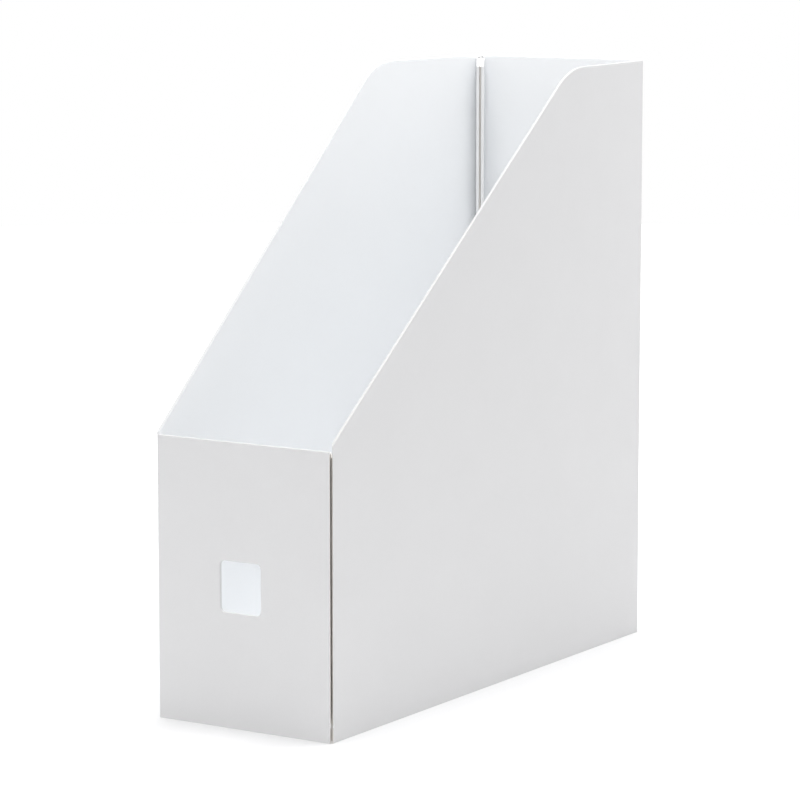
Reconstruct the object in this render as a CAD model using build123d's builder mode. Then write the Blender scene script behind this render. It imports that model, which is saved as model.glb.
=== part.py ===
from build123d import *
import os
from math import cos, radians, sin

# Open-topped file holder for magazines and loose paper, folded from board.
# Four walls with a slanted open front, two diagonally opposite glued corner
# seams whose flanges turn inwards, two plain folded corners, a finger hole
# low in the front wall, and a folding bottom of four flaps.
#
# Frame: X across the spine (left to right), Y from the front (-) to the back
# (+), Z up.  Origin at the middle of the footprint, on the surface the holder
# stands on.  Millimetres.

# ---------------------------------------------------------------- driving sizes
WIDTH = 100.0            # across the front wall, outside
DEPTH = 296.0            # front to back, outside
HEIGHT = 306.0           # back wall
FRONT_HEIGHT = 138.0     # front wall
SIDE_STEP = 1.0          # side walls start this much above the front wall
TOP_FLAT = 92.0          # level top of each side wall, to the sharp corner
TOP_RADIUS = 40.0        # rounding between the level top and the slant
BOARD = 1.6              # board thickness

SEAM_GAP = 0.9           # dark slit between two seam flanges
SEAM_ANGLE = 30.0        # from a side wall to its seam flanges, which lean that way
FLANGE = 15.0            # flange length, measured from the outer corner
FLANGE_ROOT = 4.5        # a flange's full-height root, measured from the corner
FLANGE_LOW_IN = 10.0     # lower edge beyond the root, clear of the flaps' sweep
FLANGE_LOW_OUT = 17.5    # the same at the free edge
FLANGE_DROP = 1.5        # flange top below the wall's top
FLANGE_CUT_ALONG = 5.0   # chamfer at the flange's free top corner
FLANGE_CUT_DOWN = 4.0
GLUE_START = 4.5         # adhesive line, measured from the outer corner
GLUE_END = 14.5
GLUE_LOW = 20.0
GLUE_BELOW = 0.5         # adhesive top below the flange tops

HOLE_W = 23.0            # finger hole
HOLE_H = 24.5
HOLE_X = -1.5
HOLE_Z = 68.5
HOLE_R = 2.2

# The free upper edges of the side walls stand outwards: the bow at the top
# edge, at stations along the depth.  It falls evenly to nothing at the base.
BOW = (
    (-97.0, 3.6), (-46.0, 5.9), (5.0, 7.5), (50.0, 8.6), (85.0, 7.4), (120.0, 4.0),
)

LAYER = 1.7              # pitch of the flap layers, board plus clearance
MAJOR_RIGHT = 47.5       # flap widths, away from their wall
MAJOR_LEFT = 60.0
FOOT_REACH = 84.0        # front toe of the left flap, away from its wall
MINOR = 25.0
FLAP_END = 1.2           # clearance at a flap's end
OPEN_SEAM = 0.06         # clearance at the rear right fold, modelled open

# ---------------------------------------------------------------- plan geometry
X = WIDTH / 2
Y = DEPTH / 2
T = BOARD
HALF = SEAM_GAP / 2
OFF = T + HALF                       # flange's inner face from the seam plane
SA = sin(radians(SEAM_ANGLE))
CA = cos(radians(SEAM_ANGLE))

# Outer and inner crease lines of the front right seam; the rear left seam is
# the same pair turned half a turn about Z.
O_SIDE = (X, -Y + HALF / SA)
I_SIDE = (X - T, -Y + T * CA / SA + OFF / SA)
O_FRONT = (X - HALF / CA, -Y)
I_FRONT = (X - T * SA / CA - OFF / CA, -Y + T)


def turned(p):
    """Half a turn about Z, which maps the front right corner to the rear left."""
    return (-p[0], -p[1])


def at_seam(along, across):
    """Point at the front right seam: along the flange, across its plane."""
    return (X - along * SA + across * CA, -Y + along * CA + across * SA)


os.makedirs("parts", exist_ok=True)

# ---------------------------------------------------------------- side profile
# Outline of a side wall seen from the side, shared by both side walls.
SIDE_OUTLINE = [
    (-Y - 1, 0), (Y + 1, 0), (Y + 1, HEIGHT), (Y - TOP_FLAT, HEIGHT),
    (-Y, FRONT_HEIGHT + SIDE_STEP), (-Y - 1, FRONT_HEIGHT + SIDE_STEP), (-Y - 1, 0),
]

# ---------------------------------------------------------------- walls
# Right wall: creased to its flange in front, mitred at the rear fold.
with BuildPart() as right_side_panel:
    with BuildSketch(Plane.XY):
        with BuildLine():
            Polyline(O_SIDE, (X, Y), (X - T, Y - T), I_SIDE, O_SIDE)
        make_face()
    with BuildSketch(Plane.XY.offset(HEIGHT)):
        with BuildLine():
            Spline([O_SIDE] + [(X + b, y) for y, b in BOW] + [(X, Y)])
            Line((X, Y), (X - T, Y - T))
            Spline(
                [(X - T, Y - T)] + [(X - T + b, y) for y, b in reversed(BOW)]
                + [I_SIDE]
            )
            Line(I_SIDE, O_SIDE)
        make_face()
    loft(ruled=True)
    with BuildSketch(Plane.YZ.offset(-WIDTH)) as outline_right:
        with BuildLine():
            Polyline(SIDE_OUTLINE)
        make_face()
        fillet(
            outline_right.vertices().sort_by_distance((Y - TOP_FLAT, HEIGHT))[0],
            radius=TOP_RADIUS,
        )
    extrude(amount=2 * WIDTH, mode=Mode.INTERSECT)
right_side_panel.part.label = "right_side_panel"

# Left wall: mitred at the front fold, creased to its flange at the rear.
with BuildPart() as left_side_panel:
    with BuildSketch(Plane.XY):
        with BuildLine():
            Polyline(
                turned(O_SIDE), (-X, -Y), (-X + T, -Y + T),
                turned(I_SIDE), turned(O_SIDE),
            )
        make_face()
    with BuildSketch(Plane.XY.offset(HEIGHT)):
        with BuildLine():
            Spline(
                [turned(O_SIDE)] + [(-X - b, y) for y, b in reversed(BOW)]
                + [(-X, -Y)]
            )
            Line((-X, -Y), (-X + T, -Y + T))
            Spline(
                [(-X + T, -Y + T)] + [(-X + T - b, y) for y, b in BOW]
                + [turned(I_SIDE)]
            )
            Line(turned(I_SIDE), turned(O_SIDE))
        make_face()
    loft(ruled=True)
    with BuildSketch(Plane.YZ.offset(-WIDTH)) as outline_left:
        with BuildLine():
            Polyline(SIDE_OUTLINE)
        make_face()
        fillet(
            outline_left.vertices().sort_by_distance((Y - TOP_FLAT, HEIGHT))[0],
            radius=TOP_RADIUS,
        )
    extrude(amount=2 * WIDTH, mode=Mode.INTERSECT)
left_side_panel.part.label = "left_side_panel"

# Front wall, low, with the finger hole.
with BuildPart() as front_panel:
    with BuildSketch(Plane.XY):
        with BuildLine():
            Polyline(O_FRONT, I_FRONT, (-X + T, -Y + T), (-X, -Y), O_FRONT)
        make_face()
    extrude(amount=FRONT_HEIGHT)
    with BuildSketch(Plane.XZ.offset(Y - T - 1)):
        with Locations((HOLE_X, HOLE_Z)):
            RectangleRounded(HOLE_W, HOLE_H, HOLE_R)
    extrude(amount=T + 2, mode=Mode.SUBTRACT)
front_panel.part.label = "front_panel"

# Back wall, full height, with clearance at the fold that is modelled open.
with BuildPart() as back_panel:
    with BuildSketch(Plane.XY):
        with BuildLine():
            Polyline(
                turned(O_FRONT), turned(I_FRONT),
                (X - T - OPEN_SEAM, Y - T), (X - OPEN_SEAM, Y), turned(O_FRONT),
            )
        make_face()
    extrude(amount=HEIGHT)
back_panel.part.label = "back_panel"

# ---------------------------------------------------------------- seam flanges
FIN_CUT_PLANE = Plane(
    origin=(X, -Y, 0), x_dir=(-SA, CA, 0), z_dir=(CA, SA, 0)
)


def fin_profile(top):
    """Side view of a seam flange: stepped below, top free corner cut off."""
    return [
        (-5, 0), (FLANGE_ROOT, 0), (FLANGE_ROOT, FLANGE_LOW_IN),
        (FLANGE, FLANGE_LOW_OUT), (FLANGE, top - FLANGE_CUT_DOWN),
        (FLANGE - FLANGE_CUT_ALONG, top), (-5, top), (-5, 0),
    ]


def glue_profile(top):
    """Side view of an adhesive line, just inside the flanges' outline."""
    ceiling = top - GLUE_BELOW
    fall = (GLUE_END - FLANGE + FLANGE_CUT_ALONG) * FLANGE_CUT_DOWN / FLANGE_CUT_ALONG
    return [
        (GLUE_START, GLUE_LOW), (GLUE_END, GLUE_LOW), (GLUE_END, ceiling - fall),
        (FLANGE - FLANGE_CUT_ALONG, ceiling), (GLUE_START, ceiling),
        (GLUE_START, GLUE_LOW),
    ]


FRONT_FIN_TOP = FRONT_HEIGHT - FLANGE_DROP
REAR_FIN_TOP = HEIGHT - FLANGE_DROP

# Front right seam, flange of the right wall.
with BuildPart() as front_seam_flange_side:
    with BuildSketch(Plane.XY):
        with BuildLine():
            Polyline(
                O_SIDE, I_SIDE, at_seam(FLANGE, OFF), at_seam(FLANGE, HALF), O_SIDE
            )
        make_face()
    extrude(amount=HEIGHT)
    with BuildSketch(FIN_CUT_PLANE):
        with BuildLine():
            Polyline(fin_profile(FRONT_FIN_TOP))
        make_face()
    extrude(amount=20, both=True, mode=Mode.INTERSECT)
front_seam_flange_side.part.label = "front_seam_flange_side"

# Front right seam, flange of the front wall.
with BuildPart() as front_seam_flange_front:
    with BuildSketch(Plane.XY):
        with BuildLine():
            Polyline(
                O_FRONT, at_seam(FLANGE, -HALF), at_seam(FLANGE, -OFF), I_FRONT,
                O_FRONT,
            )
        make_face()
    extrude(amount=HEIGHT)
    with BuildSketch(FIN_CUT_PLANE):
        with BuildLine():
            Polyline(fin_profile(FRONT_FIN_TOP))
        make_face()
    extrude(amount=20, both=True, mode=Mode.INTERSECT)
front_seam_flange_front.part.label = "front_seam_flange_front"

# Adhesive line between the two front flanges.
with BuildPart() as front_seam_glue:
    with BuildSketch(FIN_CUT_PLANE):
        with BuildLine():
            Polyline(glue_profile(FRONT_FIN_TOP))
        make_face()
    extrude(amount=HALF, both=True)
front_seam_glue.part.label = "front_seam_glue"

# Rear left seam: the same section, half a turn round, at the back wall's height.
REAR_CUT_PLANE = Plane(
    origin=(-X, Y, 0), x_dir=(SA, -CA, 0), z_dir=(-CA, -SA, 0)
)

with BuildPart() as rear_seam_flange_side:
    with BuildSketch(Plane.XY):
        with BuildLine():
            Polyline(
                turned(O_SIDE), turned(I_SIDE), turned(at_seam(FLANGE, OFF)),
                turned(at_seam(FLANGE, HALF)), turned(O_SIDE),
            )
        make_face()
    extrude(amount=HEIGHT)
    with BuildSketch(REAR_CUT_PLANE):
        with BuildLine():
            Polyline(fin_profile(REAR_FIN_TOP))
        make_face()
    extrude(amount=20, both=True, mode=Mode.INTERSECT)
rear_seam_flange_side.part.label = "rear_seam_flange_side"

with BuildPart() as rear_seam_flange_back:
    with BuildSketch(Plane.XY):
        with BuildLine():
            Polyline(
                turned(O_FRONT), turned(at_seam(FLANGE, -HALF)),
                turned(at_seam(FLANGE, -OFF)), turned(I_FRONT), turned(O_FRONT),
            )
        make_face()
    extrude(amount=HEIGHT)
    with BuildSketch(REAR_CUT_PLANE):
        with BuildLine():
            Polyline(fin_profile(REAR_FIN_TOP))
        make_face()
    extrude(amount=20, both=True, mode=Mode.INTERSECT)
rear_seam_flange_back.part.label = "rear_seam_flange_back"

with BuildPart() as rear_seam_glue:
    with BuildSketch(REAR_CUT_PLANE):
        with BuildLine():
            Polyline(glue_profile(REAR_FIN_TOP))
        make_face()
    extrude(amount=HALF, both=True)
rear_seam_glue.part.label = "rear_seam_glue"

# ---------------------------------------------------------------- bottom flaps
# Each flap is creased to the inner face of its wall and swings up flat against
# it as the holder is folded.  At the two seam corners, which close, the flaps
# are cut back so that they pass each other; at the two folded corners, which
# open, they are square or mitred.
XI = X - T                           # inner faces of the walls
YI = Y - T

with BuildPart() as bottom_flap_front:
    with BuildSketch(Plane.XY):
        with BuildLine():
            Polyline(
                (-XI + 2.0, -YI), (XI - 5.0, -YI),
                (XI - 5.0 - 2 * MINOR, -YI + MINOR),
                (-XI + 2.0 + MINOR, -YI + MINOR), (-XI + 2.0, -YI),
            )
        make_face()
    extrude(amount=T)
bottom_flap_front.part.label = "bottom_flap_front"

with BuildPart() as bottom_flap_back:
    with BuildSketch(Plane.XY):
        with BuildLine():
            Polyline(
                (XI - 2.0, YI), (-XI + 5.0, YI),
                (-XI + 5.0 + 2 * MINOR, YI - MINOR),
                (XI - 2.0 - MINOR, YI - MINOR), (XI - 2.0, YI),
            )
        make_face()
    extrude(amount=T)
bottom_flap_back.part.label = "bottom_flap_back"

with BuildPart() as bottom_flap_right:
    with BuildSketch(Plane.XY.offset(LAYER)):
        with BuildLine():
            Polyline(
                (XI, -YI + 4.0), (XI - MAJOR_RIGHT, -YI + 4.0 + MAJOR_RIGHT),
                (XI - MAJOR_RIGHT, YI - FLAP_END), (XI, YI - FLAP_END),
                (XI, -YI + 4.0),
            )
        make_face()
    extrude(amount=T)
bottom_flap_right.part.label = "bottom_flap_right"

# The left flap laps over the right one and has a toe at the front right.
TOE = XI - (FOOT_REACH - XI)         # toe's tip from the right wall
with BuildPart() as bottom_flap_left:
    with BuildSketch(Plane.XY.offset(2 * LAYER)):
        with BuildLine():
            Polyline(
                (-XI, -YI + FLAP_END), (-XI + FOOT_REACH, -YI + FLAP_END),
                (-XI + FOOT_REACH, -YI + TOE + 8.0),
                (-XI + MAJOR_LEFT, -YI + TOE + 8.0 + FOOT_REACH - MAJOR_LEFT),
                (-XI + MAJOR_LEFT, YI - 4.0 - MAJOR_LEFT), (-XI, YI - 4.0),
                (-XI, -YI + FLAP_END),
            )
        make_face()
    extrude(amount=T)
bottom_flap_left.part.label = "bottom_flap_left"

# ---------------------------------------------------------------- write pieces
for piece in (
    right_side_panel, left_side_panel, front_panel, back_panel,
    front_seam_flange_side, front_seam_flange_front, front_seam_glue,
    rear_seam_flange_side, rear_seam_flange_back, rear_seam_glue,
    bottom_flap_front, bottom_flap_back, bottom_flap_right, bottom_flap_left,
):
    export_step(piece.part, "parts/" + piece.part.label + ".step")
    print(piece.part.label, round(piece.part.volume, 1))

print("right side crease", I_SIDE, "front crease", I_FRONT)
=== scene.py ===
import math

import bmesh
import bpy
import numpy as np
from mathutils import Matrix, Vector
from mathutils.geometry import delaunay_2d_cdt
from mathutils.noise import noise as perlin


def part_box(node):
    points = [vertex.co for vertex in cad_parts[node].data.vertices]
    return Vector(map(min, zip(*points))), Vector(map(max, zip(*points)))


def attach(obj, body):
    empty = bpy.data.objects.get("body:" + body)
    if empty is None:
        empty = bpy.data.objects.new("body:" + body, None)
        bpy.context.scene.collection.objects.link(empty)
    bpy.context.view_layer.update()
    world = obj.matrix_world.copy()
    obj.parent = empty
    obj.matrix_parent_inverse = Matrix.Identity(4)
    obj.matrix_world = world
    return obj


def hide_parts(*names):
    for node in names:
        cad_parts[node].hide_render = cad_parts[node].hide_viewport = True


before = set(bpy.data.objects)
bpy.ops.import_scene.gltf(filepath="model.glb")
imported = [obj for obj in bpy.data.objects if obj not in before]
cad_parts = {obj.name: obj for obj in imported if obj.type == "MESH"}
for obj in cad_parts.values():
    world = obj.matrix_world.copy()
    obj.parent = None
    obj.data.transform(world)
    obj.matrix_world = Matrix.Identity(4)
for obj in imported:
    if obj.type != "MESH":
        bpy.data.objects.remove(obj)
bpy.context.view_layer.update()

MM = 0.001

# ------------------------------------------------------------------ sizes, mm
f_lo, f_hi = (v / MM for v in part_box("front_panel"))
b_lo, b_hi = (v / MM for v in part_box("back_panel"))
X, Y = -f_lo.x, -f_lo.y
T = f_hi.y - f_lo.y
FRONT_H = f_hi.z
HEIGHT = b_hi.z
SIDE_STEP = 1.0
TOP_FLAT, TOP_RADIUS = 92.0, 40.0
GAP = 0.9
HALF = GAP / 2
OFF = T + HALF
SEAM_ANGLE = math.radians(30.0)
SA, CA = math.sin(SEAM_ANGLE), math.cos(SEAM_ANGLE)
FLANGE, ROOT, LOW_IN, LOW_OUT = 15.0, 4.5, 10.0, 17.5
DROP, CUT_ALONG, CUT_DOWN = 1.5, 5.0, 4.0
GLUE_START, GLUE_END = 4.5, 14.9
HOLE_W, HOLE_H, HOLE_X, HOLE_Z, HOLE_R = 23.0, 24.5, -1.5, 68.5, 2.2
BOW = ((-97.0, 3.6), (-46.0, 5.9), (5.0, 7.5), (50.0, 8.6), (85.0, 7.4), (120.0, 4.0))
LAYER = 1.7

O_SIDE_Y = -Y + HALF / SA
I_SIDE_Y = -Y + T * CA / SA + OFF / SA
O_FRONT_X = X - HALF / CA
I_FRONT_X = X - T * SA / CA - OFF / CA


# ------------------------------------------------------------------ the bow
def natural_spline(xs, ys):
    """Second derivatives of a natural cubic spline, and a function that reads it."""
    xs, ys = np.array(xs, float), np.array(ys, float)
    n = len(xs)
    h = np.diff(xs)
    a = np.zeros((n, n))
    r = np.zeros(n)
    a[0, 0] = a[-1, -1] = 1
    for i in range(1, n - 1):
        a[i, i - 1], a[i, i], a[i, i + 1] = h[i - 1], 2 * (h[i - 1] + h[i]), h[i]
        r[i] = 6 * ((ys[i + 1] - ys[i]) / h[i] - (ys[i] - ys[i - 1]) / h[i - 1])
    m = np.linalg.solve(a, r)

    def value(x):
        if x <= xs[0] or x >= xs[-1]:
            return 0.0
        i = min(int(np.searchsorted(xs, x)) - 1, n - 2)
        i = max(i, 0)
        t0, t1 = xs[i + 1] - x, x - xs[i]
        return float(
            (m[i] * t0**3 + m[i + 1] * t1**3) / (6 * h[i])
            + (ys[i] / h[i] - m[i] * h[i] / 6) * t0
            + (ys[i + 1] / h[i] - m[i + 1] * h[i] / 6) * t1
        )

    return value


def bow_between(a, b):
    return natural_spline([a] + [p[0] for p in BOW] + [b], [0] + [p[1] for p in BOW] + [0])


BOW_R = (bow_between(O_SIDE_Y, Y), bow_between(I_SIDE_Y, Y - T))
BOW_L = (bow_between(-Y, -O_SIDE_Y), bow_between(-Y + T, -I_SIDE_Y))

# ------------------------------------------------------------------ edge profiles
# (inset from the outline, depth from the outer face) for each ring, outer to inner.
N = 7


def arc(r, turn, u0=None):
    u0 = r if u0 is None else u0
    return [
        (u0 - r * math.sin(a), r - r * math.cos(a))
        for a in (math.radians(turn) * i / (N - 1) for i in range(N))
    ]


def line(a, b):
    return [
        (a[0] + (b[0] - a[0]) * i / N, a[1] + (b[1] - a[1]) * i / N)
        for i in range(1, N + 1)
    ]


def cut(t, r):
    outer = arc(r, 90)
    return outer + [(d, t - w) for d, w in reversed(outer)]


def mitre(t, r):
    outer = arc(r, 45)
    return outer + line(outer[-1], (t, t))


def crease(t, r, angle):
    """The fold between a wall and its flange, which meet at that angle."""
    half = angle / 2
    outer = arc(r, 90 - math.degrees(half), r / math.tan(half))
    return outer + line(outer[-1], (t / math.tan(half), t))


def fold_under(t, r):
    outer = arc(r, 90)
    return outer + line(outer[-1], (0.0, t))


def shoulder(t, r, angle):
    """The same fold above its flange's top, where the wall keeps its whole thickness."""
    outer = arc(r, 180 - math.degrees(angle), r / math.tan(angle / 2))
    return outer + line(outer[-1], (t / math.tan(angle), t))


PROFILE = {
    "cut": cut(T, 0.62),
    "soft": cut(T, 0.72),
    "crisp": cut(T, 0.34),
    "mitre": mitre(T, 1.5),
    "side_crease": crease(T, 0.34, SEAM_ANGLE),
    "front_crease": crease(T, 0.34, math.pi / 2 - SEAM_ANGLE),
    "side_shoulder": shoulder(T, 0.34, SEAM_ANGLE),
    "front_shoulder": shoulder(T, 0.34, math.pi / 2 - SEAM_ANGLE),
    "under": fold_under(T, 0.55),
    "hinge": [(0.0, T * i / (2 * N - 1)) for i in range(2 * N)],
}
# a ring on each flat face, close to the edge, keeps the shading of the faces flat
for kind, rows in PROFILE.items():
    PROFILE[kind] = [(rows[0][0] + 0.7, 0.0)] + rows + [(rows[-1][0] + 0.7, T)]
RINGS = 2 * N + 2


# ------------------------------------------------------------------ plates
def stops(outline, step, near):
    """For each edge of an outline, where to divide it, as shares of its length."""
    out = []
    n = len(outline)
    for i in range(n):
        x0, y0 = outline[i][:2]
        x1, y1 = outline[(i + 1) % n][:2]
        length = math.hypot(x1 - x0, y1 - y0)
        here = []
        if length > 4 * near:
            count = max(1, round((length - 2 * near) / step))
            here = [(near + (length - 2 * near) * k / count) / length for k in range(count + 1)]
        out.append(here)
    return out


def inset(points, shares, k):
    """Ring k of an outline: its corners moved in by their edges' insets, then divided.
    Rows: x, y, depth, edge type."""
    n = len(points)
    corners = []
    for i in range(n):
        xp, yp, kp = points[i - 1]
        x, y, kn = points[i]
        xn, yn, _ = points[(i + 1) % n]
        a = np.array((x - xp, y - yp))
        b = np.array((xn - x, yn - y))
        a, b = a / np.linalg.norm(a), b / np.linalg.norm(b)
        na, nb = np.array((-a[1], a[0])), np.array((-b[1], b[0]))
        (da, wa), (db, wb) = PROFILE[kp][k], PROFILE[kn][k]
        det = na[0] * nb[1] - na[1] * nb[0]
        if abs(det) < 0.02:
            m = na + nb
            move = m / np.linalg.norm(m) * (da + db) / 2
        else:
            move = np.array((da * nb[1] - db * na[1], na[0] * db - nb[0] * da)) / det
        corners.append((x + move[0], y + move[1], (wa + wb) / 2))
    ring = []
    for i in range(n):
        x0, y0, w0 = corners[i]
        x1, y1, _ = corners[(i + 1) % n]
        kind = points[i][2]
        ring.append((x0, y0, w0, kind))
        w = PROFILE[kind][k][1]
        ring += [(x0 + (x1 - x0) * s, y0 + (y1 - y0) * s, w, kind) for s in shares[i]]
    return ring


def inside(px, py, loop):
    hit = False
    n = len(loop)
    for i in range(n):
        x0, y0 = loop[i][:2]
        x1, y1 = loop[(i + 1) % n][:2]
        if (y0 > py) != (y1 > py) and px < (x1 - x0) * (py - y0) / (y1 - y0) + x0:
            hit = not hit
    return hit


def fill(loops, step):
    """Triangles over a region: its outer loop first, then its holes, and grid points."""
    pts, edges = [], []
    for loop in loops:
        base = len(pts)
        pts += [(p[0], p[1]) for p in loop]
        edges += [(base + i, base + (i + 1) % len(loop)) for i in range(len(loop))]
    edge_pts = np.array(pts)
    n_edge = len(pts)
    lo, hi = edge_pts.min(0), edge_pts.max(0)
    nx, ny = (max(2, int(round(v / step))) for v in (hi - lo))
    for j in range(1, ny):
        for i in range(1, nx):
            x = lo[0] + (hi[0] - lo[0]) * i / nx
            y = lo[1] + (hi[1] - lo[1]) * j / ny
            if np.min(np.hypot(edge_pts[:, 0] - x, edge_pts[:, 1] - y)) < 0.55 * step:
                continue
            if inside(x, y, loops[0]) and not any(inside(x, y, h) for h in loops[1:]):
                pts.append((x, y))
    # straight edges are bent by under a micrometre first, so that no three points of
    # one lie in line and no flat triangles come out
    mid = (lo + hi) / 2 + (hi - lo) * np.array((0.013, 0.021))

    def bent(p):
        d = np.array(p, float) - mid
        return Vector(mid + d * (1 - 1e-7 * float(d @ d)))

    curved = [bent(p) for p in pts]
    rims, base = [], 0
    for loop in loops:
        rims.append([tuple(curved[base + i]) for i in range(len(loop))])
        base += len(loop)
    vs, _, faces, origin, _, _ = delaunay_2d_cdt(curved, edges, [], 0, 1e-9, True)
    if any(not o for o in origin):
        raise ValueError("an outline crosses itself")
    keep = []
    for f in faces:
        cx = sum(vs[i][0] for i in f) / len(f)
        cy = sum(vs[i][1] for i in f) / len(f)
        if inside(cx, cy, rims[0]) and not any(inside(cx, cy, h) for h in rims[1:]):
            keep.append([origin[i][0] for i in f])
    return pts[n_edge:], keep


def make_mesh(name, verts, faces, attributes=None, material=None):
    mesh = bpy.data.meshes.new(name)
    mesh.from_pydata([Vector(v) * MM for v in verts], [], faces)
    bm = bmesh.new()
    bm.from_mesh(mesh)
    bmesh.ops.remove_doubles(bm, verts=bm.verts, dist=1e-8)
    bmesh.ops.recalc_face_normals(bm, faces=bm.faces)
    for f in bm.faces:
        f.smooth = True
    for e in bm.edges:
        if len(e.link_faces) == 2 and e.calc_face_angle(0.0) > math.radians(33):
            e.smooth = False
    bm.to_mesh(mesh)
    bm.free()
    for key, values in (attributes or {}).items():
        if len(values) == len(mesh.vertices):
            layer = mesh.attributes.new(key, "FLOAT", "POINT")
            layer.data.foreach_set("value", np.array(values, np.float32))
    mesh.validate()
    obj = bpy.data.objects.new(name, mesh)
    bpy.context.scene.collection.objects.link(obj)
    if material:
        mesh.materials.append(material)
    return obj


def plate(name, outline, place, step=7.0, holes=(), material=None):
    """A board with shaped edges.  place(u, v, depth) gives a point, in mm."""
    loops = [(outline, stops(outline, step, 0.8))] + [(h, stops(h, 2.0, 0.3)) for h in holes]
    verts, faces, ply, rim = [], [], [], []
    index = []
    for k in range(RINGS):
        level = []
        for loop in loops:
            ring = inset(*loop, k)
            start = len(verts)
            for u, v, w, kind in ring:
                verts.append(place(u, v, w))
                ply.append(w / T)
                edge = max(0, min(k, RINGS - 1 - k) - 1) / (N - 1)
                rim.append(min(1.0, 1.6 * edge) if kind in ("cut", "soft", "crisp") else 0.0)
            level.append((start, ring))
        index.append(level)
    for k in range(RINGS - 1):
        for (a, ring), (b, _) in zip(index[k], index[k + 1]):
            n = len(ring)
            for i in range(n):
                j = (i + 1) % n
                faces.append((a + i, a + j, b + j, b + i))
    for k, w in ((0, 0.0), (RINGS - 1, T)):
        rings = [ring for _, ring in index[k]]
        extra, tris = fill(rings, step)
        lookup = [s + i for s, ring in index[k] for i in range(len(ring))]
        for u, v in extra:
            lookup.append(len(verts))
            verts.append(place(u, v, w))
            ply.append(w / T)
            rim.append(0.0)
        faces += [tuple(lookup[i] for i in t) for t in tris]
    return make_mesh(name, verts, faces, {"ply": ply, "rim": rim}, material)


# ------------------------------------------------------------------ materials
def node_material(name):
    mat = bpy.data.materials.new(name)
    mat.use_nodes = True
    nt = mat.node_tree
    for n in list(nt.nodes):
        nt.nodes.remove(n)
    out = nt.nodes.new("ShaderNodeOutputMaterial")
    bsdf = nt.nodes.new("ShaderNodeBsdfPrincipled")
    nt.links.new(bsdf.outputs[0], out.inputs[0])
    return mat, nt, bsdf


def value_noise(nt, coord, scale, detail=3.0, rough=0.55):
    n = nt.nodes.new("ShaderNodeTexNoise")
    n.inputs["Scale"].default_value = scale
    n.inputs["Detail"].default_value = detail
    n.inputs["Roughness"].default_value = rough
    nt.links.new(coord, n.inputs["Vector"])
    return n.outputs["Fac"]


def math_node(nt, op, a, b=None, c=None, clamp=False):
    n = nt.nodes.new("ShaderNodeMath")
    n.operation = op
    n.use_clamp = clamp
    for i, v in enumerate((a, b, c)):
        if v is None:
            continue
        if isinstance(v, (int, float)):
            n.inputs[i].default_value = v
        else:
            nt.links.new(v, n.inputs[i])
    return n.outputs[0]


def mix_colour(nt, fac, a, b):
    n = nt.nodes.new("ShaderNodeMix")
    n.data_type = "RGBA"
    if isinstance(fac, (int, float)):
        n.inputs[0].default_value = fac
    else:
        nt.links.new(fac, n.inputs[0])
    for i, v in ((6, a), (7, b)):
        if isinstance(v, tuple):
            n.inputs[i].default_value = (*v, 1.0)
        else:
            nt.links.new(v, n.inputs[i])
    return n.outputs[2]


def attribute(nt, name):
    n = nt.nodes.new("ShaderNodeAttribute")
    n.attribute_name = name
    return n.outputs["Fac"]


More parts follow.
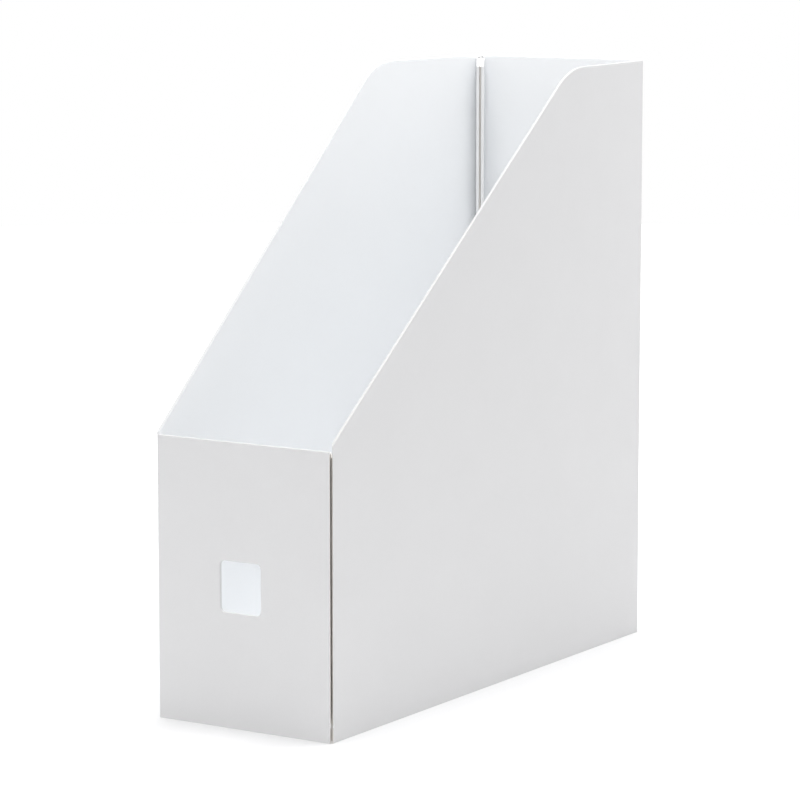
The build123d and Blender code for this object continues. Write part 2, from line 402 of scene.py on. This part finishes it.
def board_material(name, outer, inner, edge, bump=1.0):
    """White lined board: mottled liner, fine paper tooth, plies on its cut edges."""
    mat, nt, bsdf = node_material(name)
    tc = nt.nodes.new("ShaderNodeTexCoord")
    co = tc.outputs["Object"]
    ply, rim = attribute(nt, "ply"), attribute(nt, "rim")
    side = math_node(nt, "GREATER_THAN", ply, 0.5)
    # the inner faces take the inner liner's colour, whose cool tint is painted light
    liner = mix_colour(nt, side, outer, inner)
    # slow mottling of the liner and a fine fleck of fibres
    cloud = value_noise(nt, co, 34.0, 4.0, 0.6)
    fleck = value_noise(nt, co, 950.0, 3.0, 0.7)
    tone = math_node(nt, "MULTIPLY_ADD", cloud, 0.034, 1.0 - 0.017)
    tone = math_node(nt, "MULTIPLY_ADD", fleck, 0.030, math_node(nt, "SUBTRACT", tone, 0.015))
    shade = nt.nodes.new("ShaderNodeVectorMath")
    shade.operation = "SCALE"
    nt.links.new(liner, shade.inputs[0])
    nt.links.new(tone, shade.inputs["Scale"])
    # plies: thin layers through the thickness, only on cut edges
    waves = nt.nodes.new("ShaderNodeTexWave")
    waves.wave_type = "BANDS"
    waves.bands_direction = "X"
    waves.inputs["Scale"].default_value = 2.1
    waves.inputs["Distortion"].default_value = 1.2
    waves.inputs["Detail"].default_value = 2.0
    waves.inputs["Detail Scale"].default_value = 1.5
    vec = nt.nodes.new("ShaderNodeCombineXYZ")
    nt.links.new(ply, vec.inputs[0])
    stretch = nt.nodes.new("ShaderNodeVectorMath")
    stretch.operation = "SCALE"
    nt.links.new(co, stretch.inputs[0])
    stretch.inputs["Scale"].default_value = 6.0
    add = nt.nodes.new("ShaderNodeVectorMath")
    add.operation = "ADD"
    nt.links.new(vec.outputs[0], add.inputs[0])
    nt.links.new(stretch.outputs[0], add.inputs[1])
    nt.links.new(vec.outputs[0], waves.inputs["Vector"])
    layers = waves.outputs["Fac"]
    edge_tone = mix_colour(nt, layers, edge, tuple(c * 0.955 for c in edge))
    colour = mix_colour(nt, rim, shade.outputs[0], edge_tone)
    nt.links.new(colour, bsdf.inputs["Base Color"])
    rough = math_node(nt, "MULTIPLY_ADD", fleck, 0.14, 0.50)
    rough = math_node(nt, "MULTIPLY_ADD", rim, 0.25, rough, clamp=True)
    nt.links.new(rough, bsdf.inputs["Roughness"])
    bsdf.inputs["Specular IOR Level"].default_value = 0.32
    bsdf.inputs["Sheen Weight"].default_value = 0.04
    bsdf.inputs["Sheen Roughness"].default_value = 0.5
    # relief: paper tooth, a slow press pattern, and the plies
    tooth = value_noise(nt, co, 1500.0, 4.0, 0.65)
    press = value_noise(nt, co, 140.0, 2.0, 0.5)
    relief = math_node(nt, "MULTIPLY_ADD", press, 1.2, math_node(nt, "MULTIPLY", tooth, 0.5))
    cut_relief = math_node(nt, "MULTIPLY", layers, rim)
    relief = math_node(nt, "MULTIPLY_ADD", cut_relief, 1.4, relief)
    b = nt.nodes.new("ShaderNodeBump")
    b.inputs["Strength"].default_value = 0.30 * bump
    b.inputs["Distance"].default_value = 0.00012
    nt.links.new(relief, b.inputs["Height"])
    nt.links.new(b.outputs[0], bsdf.inputs["Normal"])
    return mat


def glue_material():
    mat, nt, bsdf = node_material("set_adhesive")
    tc = nt.nodes.new("ShaderNodeTexCoord")
    co = tc.outputs["Object"]
    blot = value_noise(nt, co, 220.0, 4.0, 0.6)
    colour = mix_colour(nt, blot, (0.72, 0.69, 0.65), (0.84, 0.82, 0.79))
    nt.links.new(colour, bsdf.inputs["Base Color"])
    rough = math_node(nt, "MULTIPLY_ADD", blot, 0.3, 0.3)
    nt.links.new(rough, bsdf.inputs["Roughness"])
    b = nt.nodes.new("ShaderNodeBump")
    b.inputs["Strength"].default_value = 0.5
    b.inputs["Distance"].default_value = 0.0003
    nt.links.new(value_noise(nt, co, 500.0, 3.0), b.inputs["Height"])
    nt.links.new(b.outputs[0], bsdf.inputs["Normal"])
    return mat


OUTER = (0.710, 0.710, 0.716)
# the inner liner is paler than the outer one; its cool blue tint is painted light, the cool top light falling inside
# the box
INNER_LINER_PAINTED_COOL = (0.945, 0.957, 0.970)
EDGE = (0.93, 0.93, 0.935)
# painted shade: the walls' and flaps' cut edges are greyer than the same board's white cut edge on the flanges, set by
# how bright the rims render
WALL_EDGE_PAINTED_SHADE = (0.700, 0.700, 0.702)
WALL = board_material("board_wall", OUTER, INNER_LINER_PAINTED_COOL, WALL_EDGE_PAINTED_SHADE)
FLAP = board_material("board_flap", OUTER, INNER_LINER_PAINTED_COOL, WALL_EDGE_PAINTED_SHADE)
# the flanges' outer faces are painted a warm brownish grey: painted warm shade for the narrow slit between them, where
# light bounces between white board
FLANGE_BOARD_WARM_SHADE = board_material("board_flange_warm_shade", (0.76, 0.73, 0.70), INNER_LINER_PAINTED_COOL, EDGE)
GLUE = glue_material()


# ------------------------------------------------------------------ walls
def side_outline(y_front, y_back, front_kind, back_kind):
    """Outline of a side wall seen from +X: (y, z) anticlockwise with edge types."""
    z0 = FRONT_H + SIDE_STEP
    y1 = Y - TOP_FLAT
    slope = math.atan2(HEIGHT - z0, y1 + Y)
    # the rounding between the slant and the level top
    back = TOP_RADIUS * math.tan(slope / 2)
    centre = (y1 + back, HEIGHT - TOP_RADIUS)
    pts = [(y_front, 0.0, "under"), (y_back, 0.0, back_kind)]
    if back_kind == "side_crease":
        pts.append((y_back, HEIGHT - DROP + 0.15, "side_shoulder"))
    pts.append((y_back, HEIGHT, "cut"))
    count = 12
    for i in range(count + 1):
        a = math.pi / 2 + slope * i / count
        pts.append((centre[0] + TOP_RADIUS * math.cos(a), centre[1] + TOP_RADIUS * math.sin(a), "cut"))
    # the slant runs to the front edge
    z_front = z0 + (y_front + Y) * math.tan(slope)
    if front_kind == "side_crease":
        pts.append((y_front, z_front, "side_shoulder"))
        pts.append((y_front, FRONT_H - DROP + 0.15, front_kind))
    else:
        pts.append((y_front, z_front, front_kind))
    return pts


def on_right(y, z, w):
    b = BOW_R[0](y) * (1 - w / T) + BOW_R[1](y) * w / T
    return (X - w + b * z / HEIGHT, y, z)


def on_left(y, z, w):
    b = BOW_L[0](y) * (1 - w / T) + BOW_L[1](y) * w / T
    return (-X + w - b * z / HEIGHT, y, z)


right_wall = plate(
    "right_wall_board",
    side_outline(O_SIDE_Y, Y, "side_crease", "mitre"),
    on_right, material=WALL,
)
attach(right_wall, "right_wall")
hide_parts("right_side_panel")

left_wall = plate(
    "left_wall_board",
    side_outline(-Y, -O_SIDE_Y, "mitre", "side_crease"),
    on_left, material=WALL,
)
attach(left_wall, "left_wall")
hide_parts("left_side_panel")


def rounded_hole(cx, cz, w, h, r, n=8):
    """Clockwise rounded rectangle."""
    pts = []
    for sx, sz, a0 in ((1, 1, 90), (1, -1, 0), (-1, -1, -90), (-1, 1, -180)):
        x, z = cx + sx * (w / 2 - r), cz + sz * (h / 2 - r)
        for i in range(n + 1):
            a = math.radians(a0 - 90 * i / n)
            pts.append((x + r * math.cos(a), z + r * math.sin(a), "soft"))
    return pts


front_wall = plate(
    "front_wall_board",
    [
        (-X, 0, "under"), (O_FRONT_X, 0, "front_crease"),
        (O_FRONT_X, FRONT_H - DROP + 0.15, "front_shoulder"), (O_FRONT_X, FRONT_H, "cut"),
        (-X, FRONT_H, "mitre"),
    ],
    lambda x, z, w: (x, -Y + w, z),
    holes=[rounded_hole(HOLE_X, HOLE_Z, HOLE_W, HOLE_H, HOLE_R)],
    material=WALL,
)
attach(front_wall, "front_wall")
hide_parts("front_panel")

# seen from behind: u runs from the rear right fold to the rear left seam
back_wall = plate(
    "back_wall_board",
    [
        (-X + 0.06, 0, "under"), (O_FRONT_X, 0, "front_crease"),
        (O_FRONT_X, HEIGHT - DROP + 0.15, "front_shoulder"), (O_FRONT_X, HEIGHT, "cut"),
        (-X + 0.06, HEIGHT, "mitre"),
    ],
    lambda u, z, w: (-u, Y - w, z),
    material=WALL,
)
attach(back_wall, "back_wall")
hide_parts("back_panel")


# ------------------------------------------------------------------ seam flanges
def at_seam(along, across):
    return (X - along * SA + across * CA, -Y + along * CA + across * SA)


def fin_outline(start, top):
    low = LOW_IN - (ROOT - start) * (LOW_OUT - LOW_IN) / (FLANGE - ROOT)
    return [
        (start, low, "crisp"), (FLANGE, LOW_OUT, "crisp"),
        (FLANGE, top - CUT_DOWN, "crisp"), (FLANGE - CUT_ALONG, top, "crisp"), (start, top, None),
    ]


def flange(name, top, side, rear, body, node):
    """side: the side wall's flange, else the front or back wall's.  rear: half a turn."""
    start = HALF * CA / SA if side else HALF * SA / CA
    kind = "side_crease" if side else "front_crease"
    sign = 1 if side else -1
    turn = -1 if rear else 1

    def place(along, z, w):
        x, y = at_seam(along, sign * (HALF + w))
        return (turn * x, turn * y, z)

    outline = [(u, v, k or kind) for u, v, k in fin_outline(start, top)]
    piece = plate(name, outline, place, step=6.0, material=FLANGE_BOARD_WARM_SHADE)
    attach(piece, body)
    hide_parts(node)

    # the crease's tapered root, which runs down to the base beside the flaps
    angle = SEAM_ANGLE if side else math.pi / 2 - SEAM_ANGLE
    u0, u1 = start + 0.5, ROOT - 0.1
    w1 = (u1 - start) * math.tan(angle / 2)
    section = [(u0, 0.04), (u1 - 0.2, 0.0), (u1, 0.15), (u1, w1 - 0.15), (u1 - 0.25, w1 - 0.16), (u0, 0.04 + 0.3 * w1)]
    levels = [(0.0, 0.12), (0.15, 0.0), (2.5, 0.0), (5.0, 0.0), (6.6, 0.0), (6.9, 0.12)]
    verts, faces = [], []
    n = len(section)
    for z, pinch in levels:
        cu = sum(p[0] for p in section) / n
        cw = sum(p[1] for p in section) / n
        for u, w in section:
            verts.append(place(u + (cu - u) * pinch, z, w + (cw - w) * pinch))
    for j in range(len(levels) - 1):
        for i in range(n):
            k = (i + 1) % n
            faces.append((j * n + i, j * n + k, (j + 1) * n + k, (j + 1) * n + i))
    faces.append(tuple(range(n)))
    faces.append(tuple((len(levels) - 1) * n + i for i in range(n)))
    root = make_mesh(name + "_root", verts, faces, material=FLANGE_BOARD_WARM_SHADE)
    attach(root, body)
    return piece


for rear, seam, top, names in (
    (False, "front_seam", FRONT_H - DROP, ("front_seam_flange_side", "front_seam_flange_front")),
    (True, "rear_seam", HEIGHT - DROP, ("rear_seam_flange_side", "rear_seam_flange_back")),
):
    flange(names[0] + "_board", top, True, rear, seam, names[0])
    flange(names[1] + "_board", top, False, rear, seam, names[1])


# ------------------------------------------------------------------ adhesive
def adhesive(name, top, rear, body, node):
    """A squeezed line of adhesive with an uneven edge between two flanges."""
    turn = -1 if rear else 1
    seed = 7.0 if rear else 3.0
    z0, z1 = 0.6, top - 0.6
    rows = int((z1 - z0) / 1.5)
    section = 12
    verts, faces = [], []
    for j in range(rows + 1):
        z = z0 + (z1 - z0) * j / rows
        squeeze = 0.35 + 0.65 * math.sqrt(min(1.0, 1.5 * (rows - j)))
        n0 = perlin(Vector((seed, z * 0.11, 0.0)))
        n1 = perlin(Vector((seed + 9, z * 0.09, 4.0)))
        # near the base it runs down inside the root of the creases
        reach = ROOT + (z - LOW_IN - 0.8) * (FLANGE - ROOT) / (LOW_OUT - LOW_IN)
        a1 = min(GLUE_END - 0.15 + 0.15 * n1, max(ROOT - 0.1, reach))
        a0 = min(GLUE_START + 0.5 + 0.5 * n0, a1 - 0.9)
        mid = (a0 + a1) / 2
        a0, a1 = mid + (a0 - mid) * squeeze, mid + (a1 - mid) * squeeze
        for i in range(section):
            a = 2 * math.pi * i / section
            c, s = math.cos(a), math.sin(a)
            along = (a0 + a1) / 2 + (a1 - a0) / 2 * math.copysign(abs(c) ** 0.4, c)
            across = (HALF - 0.02) * math.copysign(abs(s) ** 0.5, s) if abs(s) > 1e-9 else 0.0
            x, y = at_seam(along, across)
            ceiling = top - 0.5 - max(0.0, along - FLANGE + CUT_ALONG) * CUT_DOWN / CUT_ALONG
            verts.append((turn * x, turn * y, min(z, ceiling - 0.02 * (rows - j))))
    for j in range(rows):
        for i in range(section):
            k = (i + 1) % section
            faces.append((j * section + i, j * section + k, (j + 1) * section + k, (j + 1) * section + i))
    faces.append(tuple(range(section)))
    faces.append(tuple(rows * section + i for i in range(section)))
    piece = make_mesh(name, verts, faces, material=GLUE)
    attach(piece, body)
    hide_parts(node)
    return piece


adhesive("front_seam_adhesive", FRONT_H - DROP, False, "front_seam", "front_seam_glue")
adhesive("rear_seam_adhesive", HEIGHT - DROP, True, "rear_seam", "rear_seam_glue")

# ------------------------------------------------------------------ bottom flaps
XI, YI = X - T, Y - T
MINOR, MAJOR_R, MAJOR_L, FOOT = 25.0, 47.5, 60.0, 84.0
TOE = XI - (FOOT - XI)


def flap(name, points, z, body, node):
    """points: the outline seen from below, anticlockwise, in (-x, y)."""
    piece = plate(
        name, points, lambda u, v, w: (-u, v, z + w), step=9.0, material=FLAP,
    )
    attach(piece, body)
    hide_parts(node)
    return piece


flap(
    "bottom_flap_front_board",
    [(-XI + 5.0, -YI, "hinge"), (XI - 2.0, -YI, "cut"), (XI - 2.0 - MINOR, -YI + MINOR, "cut"), (-XI + 5.0 + 2 * MINOR, -YI + MINOR, "cut")],
    0.0, "flap_front", "bottom_flap_front",
)
flap(
    "bottom_flap_back_board",
    [(XI - 5.0, YI, "hinge"), (-XI + 2.0, YI, "cut"), (-XI + 2.0 + MINOR, YI - MINOR, "cut"), (XI - 5.0 - 2 * MINOR, YI - MINOR, "cut")],
    0.0, "flap_back", "bottom_flap_back",
)
flap(
    "bottom_flap_right_board",
    [
        (-XI, YI - 1.2, "hinge"), (-XI, -YI + 4.0, "cut"), (-XI + MAJOR_R, -YI + 4.0 + MAJOR_R, "cut"),
        (-XI + MAJOR_R, YI - 1.2, "cut"),
    ],
    LAYER, "flap_right", "bottom_flap_right",
)
flap(
    "bottom_flap_left_board",
    [
        (XI, -YI + 1.2, "hinge"), (XI, YI - 4.0, "cut"), (XI - MAJOR_L, YI - 4.0 - MAJOR_L, "cut"),
        (XI - MAJOR_L, -YI + TOE + 8.0 + FOOT - MAJOR_L, "cut"), (XI - FOOT, -YI + TOE + 8.0, "cut"),
        (XI - FOOT, -YI + 1.2, "cut"),
    ],
    2 * LAYER, "flap_left", "bottom_flap_left",
)


# ------------------------------------------------------------------ stage
GLOW, SHOWN = 0.02, 0.64


def stage_floor():
    """A pale sheet that brightens away from the object, clear when seen from below."""
    mat, nt, bsdf = node_material("pale_floor")
    tc = nt.nodes.new("ShaderNodeTexCoord")
    co = tc.outputs["Object"]
    tone = value_noise(nt, co, 3.0, 2.0)
    nt.links.new(mix_colour(nt, tone, (0.90, 0.90, 0.905), (0.915, 0.915, 0.92)), bsdf.inputs["Base Color"])
    bsdf.inputs["Roughness"].default_value = 0.85
    bsdf.inputs["Specular IOR Level"].default_value = 0.15
    far = nt.nodes.new("ShaderNodeVectorMath")
    far.operation = "LENGTH"
    nt.links.new(co, far.inputs[0])
    ramp = nt.nodes.new("ShaderNodeMapRange")
    ramp.interpolation_type = "SMOOTHSTEP"
    for key, value in (("From Min", 0.24), ("From Max", 0.80), ("To Min", 0.0), ("To Max", 1.0)):
        ramp.inputs[key].default_value = value
    nt.links.new(far.outputs["Value"], ramp.inputs["Value"])
    bsdf.inputs["Emission Color"].default_value = (1.0, 1.0, 1.0, 1.0)
    # the sheet looks brighter than the light it gives, as an overexposed backdrop does
    seen = nt.nodes.new("ShaderNodeLightPath").outputs["Is Camera Ray"]
    strength = math_node(nt, "MULTIPLY_ADD", seen, SHOWN - GLOW, GLOW)
    strength = math_node(nt, "MULTIPLY", strength, ramp.outputs[0])
    nt.links.new(strength, bsdf.inputs["Emission Strength"])
    # under the object the sheet gives light too, or the underside would be black
    axes = nt.nodes.new("ShaderNodeSeparateXYZ")
    nt.links.new(co, axes.inputs[0])
    under = math_node(nt, "SUBTRACT", 1.0, seen)
    for axis, half in ((0, (X + 3.0) * MM), (1, (Y + 3.0) * MM)):
        size = math_node(nt, "ABSOLUTE", axes.outputs[axis])
        under = math_node(nt, "MULTIPLY", under, math_node(nt, "LESS_THAN", size, half))
    lit = nt.nodes.new("ShaderNodeEmission")
    lit.inputs["Strength"].default_value = 0.95
    sheet = nt.nodes.new("ShaderNodeMixShader")
    nt.links.new(under, sheet.inputs[0])
    nt.links.new(bsdf.outputs[0], sheet.inputs[1])
    nt.links.new(lit.outputs[0], sheet.inputs[2])
    geometry = nt.nodes.new("ShaderNodeNewGeometry")
    clear = nt.nodes.new("ShaderNodeBsdfTransparent")
    mix = nt.nodes.new("ShaderNodeMixShader")
    nt.links.new(geometry.outputs["Backfacing"], mix.inputs[0])
    nt.links.new(sheet.outputs[0], mix.inputs[1])
    nt.links.new(clear.outputs[0], mix.inputs[2])
    out = next(n for n in nt.nodes if n.type == "OUTPUT_MATERIAL")
    nt.links.new(mix.outputs[0], out.inputs[0])
    verts, faces, n = [(0.0, 0.0, -0.01)], [], 96
    for r in (250.0, 500.0, 1000.0, 2400.0):
        verts += [(r * math.cos(2 * math.pi * i / n), r * math.sin(2 * math.pi * i / n), -0.01) for i in range(n)]
    for i in range(n):
        faces.append((0, 1 + i, 1 + (i + 1) % n))
    for k in range(3):
        a, b = 1 + k * n, 1 + (k + 1) * n
        for i in range(n):
            j = (i + 1) % n
            faces.append((a + i, b + i, b + j, a + j))
    floor = make_mesh("floor", verts, faces, material=mat)
    if floor.data.polygons[0].normal.z < 0:
        floor.data.flip_normals()
    return floor


floor = stage_floor()

world = bpy.data.worlds.new("soft_white")
bpy.context.scene.world = world
world.use_nodes = True
wt = world.node_tree
background = wt.nodes["Background"]
background.inputs[0].default_value = (1.0, 1.0, 1.0, 1.0)
background.inputs[1].default_value = 0.565
backdrop = wt.nodes.new("ShaderNodeBackground")
backdrop.inputs[0].default_value = (1.0, 1.0, 1.0, 1.0)
path = wt.nodes.new("ShaderNodeLightPath")
pick = wt.nodes.new("ShaderNodeMixShader")
wt.links.new(path.outputs["Is Camera Ray"], pick.inputs[0])
wt.links.new(background.outputs[0], pick.inputs[1])
wt.links.new(backdrop.outputs[0], pick.inputs[2])
wt.links.new(pick.outputs[0], wt.nodes["World Output"].inputs[0])


def area(name, location, target, size, power, colour=(1.0, 1.0, 1.0), size_y=None):
    data = bpy.data.lights.new(name, "AREA")
    data.energy = power
    data.color = colour
    data.size = size
    if size_y:
        data.shape = "RECTANGLE"
        data.size_y = size_y
    light = bpy.data.objects.new(name, data)
    light.location = location
    light.rotation_euler = (Vector(target) - Vector(location)).to_track_quat("-Z", "Y").to_euler()
    light.visible_camera = False
    bpy.context.scene.collection.objects.link(light)
    return light


area("softbox_top", (0.0, 0.1, 1.5), (0.0, 0.05, 0.2), 1.0, 21.3)
area("softbox_left", (-0.80, -0.95, 0.60), (0.0, -0.148, 0.08), 0.5, 1.7)
area("softbox_side", (0.36, 0.32, 0.42), (0.05, 0.10, 0.22), 0.28, 0.34)
area("softbox_fill", (0.70, -1.20, 0.50), (0.0, 0.0, 0.16), 0.5, 1.3)

# ------------------------------------------------------------------ camera
camera_data = bpy.data.cameras.new("camera")
camera_data.sensor_width = 36.0
camera_data.lens = 157.0
camera = bpy.data.objects.new("camera", camera_data)
camera.location = (0.9330, -1.4657, 0.3954)
camera.rotation_euler = (math.radians(81.639), 0.0, math.radians(32.672))
bpy.context.scene.collection.objects.link(camera)
bpy.context.scene.camera = camera

view = bpy.context.scene.view_settings
view.view_transform = "Standard"
view.look = "None"
view.exposure = 0.0
view.gamma = 1.0
